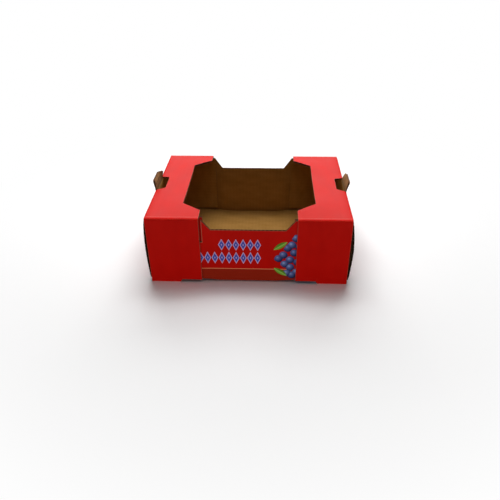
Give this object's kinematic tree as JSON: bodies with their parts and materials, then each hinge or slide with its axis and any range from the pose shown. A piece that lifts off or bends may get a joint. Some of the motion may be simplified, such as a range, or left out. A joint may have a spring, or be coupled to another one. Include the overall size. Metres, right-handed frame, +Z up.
{
  "type": "cardboard tray box",
  "caption": "Open stacking tray of folded corrugated board with notched long sides, shelves over both ends, glued corner flaps with feet, and stacking tabs.",
  "frame": {"origin": "on the floor, under the middle of the tray's footprint", "axes": "+X along the tray's length to its right end, +Y from the front long wall to the back one, +Z up"},
  "size_m": [0.4064, 0.3, 0.1628],
  "materials": {
    "printed_board": "satin red print",
    "kraft_board": "matte kraft"
  },
  "bodies": {
    "root": {"tray": "printed_board"}
  },
  "joints": []
}
